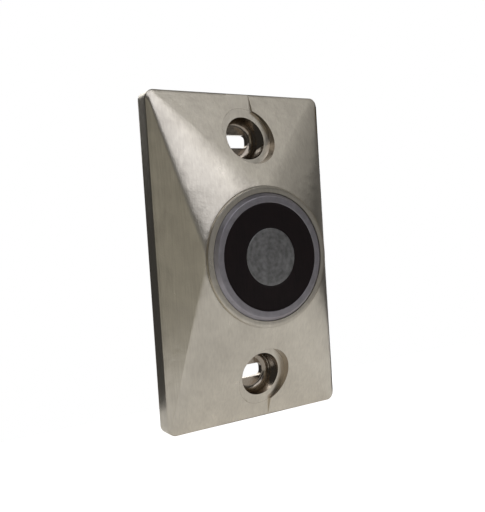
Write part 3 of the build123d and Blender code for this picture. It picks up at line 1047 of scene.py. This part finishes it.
@dataclass(frozen=True)
class Finish:
    """A procedural material with a satin grain, made once.

    Attributes:
        name: The material's name.
        light: Its lighter tone.
        dark: Its darker tone.
        smooth: Lowest roughness.
        rough: Highest roughness.
        bump: Height of the bump in metres.
        grain: Grain features per metre.
        wave: Waves per metre.
        grain_depth: Share of the grain in the bump.
        wave_depth: Share of the waviness in the bump.
        brush_depth: Share of the brushing in the bump.
    """

    name: str
    light: Rgb
    dark: Rgb
    smooth: float = 0.3
    rough: float = 0.4
    bump: float = 0.00002
    grain: float = 1700.0
    wave: float = 350.0
    grain_depth: float = 0.5
    wave_depth: float = 0.8
    brush_depth: float = 0.2

    def material(self) -> Material:
        """Find the material, or make and fill it. The frame's plain ones have the bare names.

        Returns:
            The material.
        """
        title = f"{self.name}_finish"
        made = bpy.data.materials.get(title)
        if made:
            return made
        made = bpy.data.materials.new(title)
        made.use_nodes = True
        nodes = Nodes(made.node_tree)
        where = nodes.add("ShaderNodeTexCoord").outputs["Object"]
        shader = nodes.add("ShaderNodeBsdfPrincipled")
        grain = SatinGrain().place(
            nodes, where, Grain=self.grain, Wave=self.wave, Grain_Depth=self.grain_depth,
            Wave_Depth=self.wave_depth, Brush_Depth=self.brush_depth)
        self.fill(nodes, shader, where, grain)
        result = nodes.add("ShaderNodeOutputMaterial")
        nodes.feed(result.inputs["Surface"], shader.outputs[0])
        return made

    def fill(self, nodes: Nodes, shader: Node, where: NodeSocket, grain: Node) -> None:
        """Set the shader and what feeds it.

        Args:
            nodes: The material's tree.
            shader: Its Principled BSDF.
            where: Object coordinates.
            grain: The satin grain's group node.
        """
        raise NotImplementedError

    def tones(self, nodes: Nodes, tone: NodeSocket,
              polish: NodeSocket) -> tuple[NodeSocket, NodeSocket]:
        """Make a colour and a roughness between the finish's limits.

        Args:
            nodes: The material's tree.
            tone: Share of the lighter tone.
            polish: Share of the lowest roughness.

        Returns:
            The colour and the roughness.
        """
        return (nodes.mix(tone, (*self.dark, 1.0), (*self.light, 1.0)),
                nodes.spread(polish, 0.0, 1.0, self.rough, self.smooth))

    def connect(self, nodes: Nodes, shader: Node, colour: NodeSocket, rough: NodeSocket,
                height: NodeSocket) -> None:
        """Feed the shader's colour and roughness, and its normal from a height.

        Args:
            nodes: The material's tree.
            shader: Its Principled BSDF.
            colour: The colour.
            rough: The roughness.
            height: The height, in bumps.
        """
        bump = nodes.add("ShaderNodeBump", {
            "Strength": 1.0, "Distance": self.bump, "Height": height})
        nodes.feed(shader.inputs["Base Color"], colour)
        nodes.feed(shader.inputs["Roughness"], rough)
        nodes.feed(shader.inputs["Normal"], bump.outputs[0])


@dataclass(frozen=True)
class SatinMetal(Finish):
    """Plated or bare metal with a satin grain, and with bands of painted shade where asked.

    Attributes:
        painted_shade_rings: Height, inner and outer radius of bands that get painted shade.
        painted_shade: Darker tone of the metal in those bands, painted shade.
        painted_shade_rough: Its roughness.
    """

    # Bands of painted shade: a darker, smoother tone laid where shade falls.
    painted_shade_rings: tuple[tuple[float, float, float], ...] = ()
    painted_shade: Rgb = (0.4, 0.345, 0.28)
    painted_shade_rough: float = 0.2

    def fill(self, nodes: Nodes, shader: Node, where: NodeSocket, grain: Node) -> None:
        """Feed colour, roughness and normal from the satin grain, with painted shade in the given
        bands.

        Args:
            nodes: The material's tree.
            shader: Its Principled BSDF.
            where: Object coordinates.
            grain: The satin grain's group node.
        """
        colour, rough = self.tones(nodes, grain.outputs["Tone"], grain.outputs["Tone"])
        # Painted shade: each band gets a darker, smoother tone, standing for the shade inside a well
        # or at the foot of a recess wall.
        for up, inner, outer in self.painted_shade_rings:
            inside = RingMask().place(nodes, where, Up=up, Inner=inner, Outer=outer).outputs[0]
            colour = nodes.mix(inside, colour, (*self.painted_shade, 1.0))
            rough = nodes.spread(inside, 0.0, 1.0, rough, self.painted_shade_rough)
        self.connect(nodes, shader, colour, rough, grain.outputs["Height"])
        nodes.feed(shader.inputs["Metallic"], 1.0)


@dataclass(frozen=True)
class TurnedMetal(Finish):
    """Bare steel with lathe rings on its face.

    Attributes:
        pitch: Distance between rings in metres.
    """

    smooth: float = 0.38
    rough: float = 0.52
    bump: float = 0.000006
    grain: float = 5200.0
    wave: float = 900.0
    grain_depth: float = 0.7
    wave_depth: float = 0.4
    brush_depth: float = 0.0
    pitch: float = 0.00028

    def fill(self, nodes: Nodes, shader: Node, where: NodeSocket, grain: Node) -> None:
        """Feed colour, roughness and normal from the rings and a light grain.

        Args:
            nodes: The material's tree.
            shader: Its Principled BSDF.
            where: Object coordinates.
            grain: The satin grain's group node.
        """
        rings = TurnedRings().place(nodes, where, Pitch=self.pitch)
        colour, rough = self.tones(nodes, rings.outputs["Tone"], grain.outputs["Tone"])
        height = nodes.math("ADD", rings.outputs["Height"], grain.outputs["Height"])
        self.connect(nodes, shader, colour, rough, height)
        nodes.feed(shader.inputs["Metallic"], 1.0)


@dataclass(frozen=True)
class Moulded(Finish):
    """A moulded, cast or dipped plastic, rubber or lacquer.

    Attributes:
        coat: Weight of a clear coat.
        specular: Strength of the surface's own gloss.
    """

    smooth: float = 0.42
    rough: float = 0.6
    bump: float = 0.00001
    grain: float = 2600.0
    wave: float = 2600.0 / 6
    grain_depth: float = 0.6
    wave_depth: float = 0.6
    brush_depth: float = 0.0
    coat: float = 0.0
    specular: float = 0.5

    def fill(self, nodes: Nodes, shader: Node, where: NodeSocket, grain: Node) -> None:
        """Feed colour, roughness and normal from the moulding's texture.

        Args:
            nodes: The material's tree.
            shader: Its Principled BSDF.
            where: Object coordinates; not used.
            grain: The satin grain's group node.
        """
        colour, rough = self.tones(nodes, grain.outputs["Tone"], grain.outputs["Tone"])
        self.connect(nodes, shader, colour, rough, grain.outputs["Height"])
        nodes.feed(shader.inputs["Coat Weight"], self.coat)
        nodes.feed(shader.inputs["Specular IOR Level"], self.specular)


# The nickel's two bands are painted shade: dark metal inside each well, and a thin dark line at the
# foot of each recess wall.
SATIN_NICKEL = SatinMetal(
    "satin_nickel", (0.735, 0.68, 0.575), (0.6, 0.55, 0.465), 0.27, 0.35, wave=300.0,
    grain_depth=0.45, wave_depth=1.5, bump=0.000055,
    painted_shade_rings=((41.1 * MM, -1 * MM, 7.55 * MM), (41.7 * MM, 10.06 * MM, 10.14 * MM)))
CUP_STEEL = TurnedMetal("cup_steel", (0.42, 0.395, 0.415), (0.34, 0.32, 0.335))
POLE_STEEL = TurnedMetal("pole_steel", (0.36, 0.355, 0.35), (0.19, 0.185, 0.18))
POTTING = Moulded("potting_epoxy", (0.012, 0.006, 0.006), (0.006, 0.003, 0.003), 0.45, 0.6,
                  specular=0.2)
ZINC_STEEL = SatinMetal("zinc_steel", (0.72, 0.73, 0.74), (0.6, 0.61, 0.63), 0.25, 0.4)
BLACK_STEEL = SatinMetal("black_steel", (0.07, 0.07, 0.075), (0.04, 0.04, 0.045), 0.35, 0.5)
SPRING_STEEL = SatinMetal("spring_steel", (0.45, 0.45, 0.47), (0.34, 0.34, 0.36), 0.3, 0.45)
BRASS = SatinMetal("contact_brass", (0.78, 0.6, 0.3), (0.66, 0.48, 0.22), 0.25, 0.4)
SOLDER = SatinMetal("solder", (0.75, 0.76, 0.78), (0.6, 0.61, 0.63), 0.2, 0.35)
COPPER = SatinMetal("enamelled_copper", (0.6, 0.24, 0.1), (0.46, 0.17, 0.06), 0.2, 0.35)
NYLON = Moulded("natural_nylon", (0.8, 0.77, 0.68), (0.7, 0.67, 0.58))
TAPE = Moulded("coil_tape", (0.8, 0.62, 0.12), (0.66, 0.5, 0.08), 0.25, 0.4)
BOARD = Moulded("board_green", (0.03, 0.2, 0.08), (0.015, 0.11, 0.045), 0.2, 0.32, coat=0.3)
BUSHING = Moulded("bushing_black", (0.05, 0.05, 0.05), (0.03, 0.03, 0.03))
LEAD_RED = Moulded("lead_red", (0.6, 0.05, 0.04), (0.45, 0.03, 0.03), 0.3, 0.45)
LEAD_BLACK = Moulded("lead_black", (0.04, 0.04, 0.04), (0.025, 0.025, 0.025), 0.3, 0.45)
TERMINAL_GREEN = Moulded("terminal_green", (0.05, 0.36, 0.14), (0.03, 0.26, 0.1), 0.3, 0.45)
PACKAGE = Moulded("package_black", (0.045, 0.045, 0.05), (0.03, 0.03, 0.034), 0.45, 0.6)
VARISTOR = Moulded("varistor_blue", (0.04, 0.16, 0.55), (0.03, 0.11, 0.42), 0.2, 0.35, coat=0.4)

NODE_FINISHES: dict[str, Finish] = {
    "coil_bobbin": NYLON,
    "coil_winding": COPPER,
    "winding_tape": TAPE,
    "core_screw": BLACK_STEEL,
    "core_lock_washer": SPRING_STEEL,
    "spring_washer": SPRING_STEEL,
    "retaining_plate": ZINC_STEEL,
    "retaining_screws": ZINC_STEEL,
    "circuit_board": BOARD,
    "board_spacers": ZINC_STEEL,
    "board_screws": ZINC_STEEL,
    "lead_bushing": BUSHING,
    "coil_lead_start": LEAD_RED,
    "coil_lead_finish": LEAD_BLACK,
    "terminal_block": TERMINAL_GREEN,
    "terminal_clamps": BRASS,
    "terminal_screws": ZINC_STEEL,
    "bridge_rectifier": PACKAGE,
    "surge_varistor": VARISTOR,
    "solder_joints": SOLDER,
}


@dataclass(frozen=True)
class SoftBox:
    """One soft studio light, a rectangle that faces the object from a metre away.

    Attributes:
        name: The light's name.
        right: Its direction, in degrees to the right of straight in front.
        up: Its direction, in degrees above the horizon.
        size: Its width and height.
        power: Watts.
        colour: Its tint.
        away: Distance from the object.
    """

    name: str
    right: float
    up: float
    size: Spot
    power: float
    colour: Rgb = (1.0, 1.0, 1.0)
    away: float = 1.0

    def build(self) -> None:
        """Hang the light."""
        data = bpy.data.lights.new(self.name, "AREA")
        data.shape = "RECTANGLE"
        data.size, data.size_y = self.size
        data.energy = self.power
        data.color = self.colour
        lamp = bpy.data.objects.new(self.name, data)
        bpy.context.scene.collection.objects.link(lamp)
        turn = Matrix.Rotation(math.radians(self.right), 3, "Z")
        rise = Matrix.Rotation(math.radians(-self.up), 3, "X")
        lamp.location = turn @ rise @ Vector((0.0, -self.away, 0.0))
        lamp.rotation_euler = (-lamp.location).to_track_quat("-Z", "Y").to_euler()


@dataclass(frozen=True)
class Studio:
    """The pale floor, the white surroundings, the soft lights and the camera.

    Attributes:
        floor_up: Height of the floor.
        floor_half: Half the floor's side.
        floor_behind: How far the floor reaches behind the object.
        floor_glow: Strength of the floor's light on the object.
        lamps: The soft lights.
        surround: Strength of the light from all round.
        eye: Where the camera stands.
        target: The point that it looks at.
        roll: How far its right side dips, in degrees.
        lens: Focal length in millimetres.
        sensor: Length of the sensor along the picture's long side, in millimetres.
    """

    floor_up: float
    floor_half: float = 0.15
    floor_behind: float = 0.03
    floor_glow: float = 0.36
    lamps: tuple[SoftBox, ...] = (
        SoftBox("key", -1.0, 37.0, (0.75, 0.65), 1.76, (0.98, 1.0, 1.1)),
        SoftBox("key_edge", 32.0, 44.0, (0.5, 0.6), 0.43),
        SoftBox("right_fill", 68.0, 36.0, (0.7, 0.6), 0.38),
        SoftBox("right_side", 96.0, 8.0, (0.5, 0.6), 0.08),
        SoftBox("left_fill", -62.0, 2.0, (1.0, 0.65), 0.55, (1.0, 0.97, 0.85)),
        SoftBox("low_fill", 32.0, 3.0, (0.9, 0.25), 0.14),
        SoftBox("top_left", -42.0, 58.0, (0.35, 0.3), 0.28),
        SoftBox("back_high", 170.0, 25.0, (0.8, 0.6), 2.6),
        SoftBox("back_right", 150.0, 6.0, (0.9, 0.7), 2.4),
    )
    surround: float = 0.045
    eye: tuple[float, float, float] = (-0.12508, -0.20480, 0.00960)
    target: tuple[float, float, float] = (0.00181, 0.0, 0.00018)
    roll: float = 3.696
    lens: float = 46.82
    sensor: float = 36.0

    def build(self) -> None:
        """Set up floor, surroundings, lights and camera."""
        self.floor()
        self.surroundings()
        for lamp in self.lamps:
            lamp.build()
        self.camera()
        bpy.context.scene.view_settings.view_transform = "Standard"

    def floor(self) -> None:
        """Lay the pale floor. It ends just behind the object, so that the side walls stay dark."""
        Bench.clear()
        middle = self.floor_behind - self.floor_half
        bpy.ops.mesh.primitive_plane_add(
            size=2 * self.floor_half, location=(0, middle, self.floor_up))
        floor = Bench.named("floor")
        pale = bpy.data.materials.new("pale_floor")
        pale.use_nodes = True
        nodes = Nodes(pale.node_tree)
        seen = nodes.add("ShaderNodeLightPath").outputs["Is Camera Ray"]
        shader = nodes.add("ShaderNodeBsdfPrincipled", {
            "Base Color": (0.8, 0.8, 0.8, 1.0), "Roughness": 0.9, "Emission Color": WHITE,
            "Emission Strength": nodes.spread(seen, 0.0, 1.0, self.floor_glow, 1.0)})
        result = nodes.add("ShaderNodeOutputMaterial")
        nodes.feed(result.inputs["Surface"], shader.outputs[0])
        floor.data.materials.append(pale)
        floor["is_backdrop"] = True

    def surroundings(self) -> None:
        """Light softly from all round, and show plain white behind the object."""
        world = bpy.data.worlds.new("white_studio")
        bpy.context.scene.world = world
        world.use_nodes = True
        nodes = Nodes(world.node_tree)
        seen = nodes.add("ShaderNodeLightPath").outputs["Is Camera Ray"]
        soft = nodes.add("ShaderNodeBackground", {"Color": WHITE, "Strength": self.surround})
        white = nodes.add("ShaderNodeBackground", {"Color": WHITE, "Strength": 1.0})
        mixed = nodes.add("ShaderNodeMixShader", {"Fac": seen})
        nodes.feed(mixed.inputs[1], soft.outputs[0])
        nodes.feed(mixed.inputs[2], white.outputs[0])
        result = nodes.add("ShaderNodeOutputWorld")
        nodes.feed(result.inputs["Surface"], mixed.outputs[0])

    def camera(self) -> None:
        """Stand the camera at the photograph's place and angle."""
        data = bpy.data.cameras.new("camera")
        data.lens = self.lens
        data.sensor_width = self.sensor
        data.clip_start = 10 * MM
        camera = bpy.data.objects.new("camera", data)
        bpy.context.scene.collection.objects.link(camera)
        eye, target = Vector(self.eye), Vector(self.target)
        aim = (target - eye).to_track_quat("-Z", "Y").to_matrix().to_4x4()
        camera.matrix_world = (
            Matrix.Translation(eye) @ aim @ Matrix.Rotation(math.radians(-self.roll), 4, "Z"))
        bpy.context.scene.camera = camera


class DoorHolder:
    """The whole door holder: fine pieces over the frame's nodes, and a finish on every node."""

    def __init__(self) -> None:
        """Read the sizes that the frame gives."""
        low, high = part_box("cover")
        pot_low, pot_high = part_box("magnet_pot")
        self.cover = CoverPlate(width=high.x - low.x, height=high.z - low.z)
        self.magnet = PotMagnet(face=-pot_low.y, back=-pot_high.y)

    def build(self) -> None:
        """Model the fine pieces and dress everything."""
        self.keep(self.cover.build(), "cover", SATIN_NICKEL)
        self.keep(self.magnet.cup(), "magnet_pot", CUP_STEEL)
        self.keep(self.magnet.core(), "pole_core", POLE_STEEL)
        self.keep(self.magnet.potting(), "potting_ring", POTTING)
        for name, finish in NODE_FINISHES.items():
            self.dress(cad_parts[name], finish)
            LOG.info("dressed node %s in %s", name, finish.name)

    def keep(self, piece: Object, node: str, finish: Finish) -> None:
        """Give a finished piece its finish, its body and the node that it stands for.

        Args:
            piece: The piece.
            node: The CAD node that it replaces.
            finish: Its finish.
        """
        self.dress(piece, finish)
        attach(piece, BODY)
        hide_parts(node)
        LOG.info("built %s with %d faces", piece.name, len(piece.data.polygons))

    @staticmethod
    def dress(piece: Object, finish: Finish) -> None:
        """Put a finish on a whole piece.

        Args:
            piece: The piece or CAD node.
            finish: The finish.
        """
        if not piece.material_slots:
            piece.data.materials.append(None)
        for place in piece.material_slots:
            place.material = finish.material()


def main() -> None:
    """Build the object and its studio."""
    logging.basicConfig(level=logging.INFO)
    cad_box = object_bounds()
    Studio(floor_up=cad_box[0].z).build()
    DoorHolder().build()


if __name__ == "__main__":
    main()
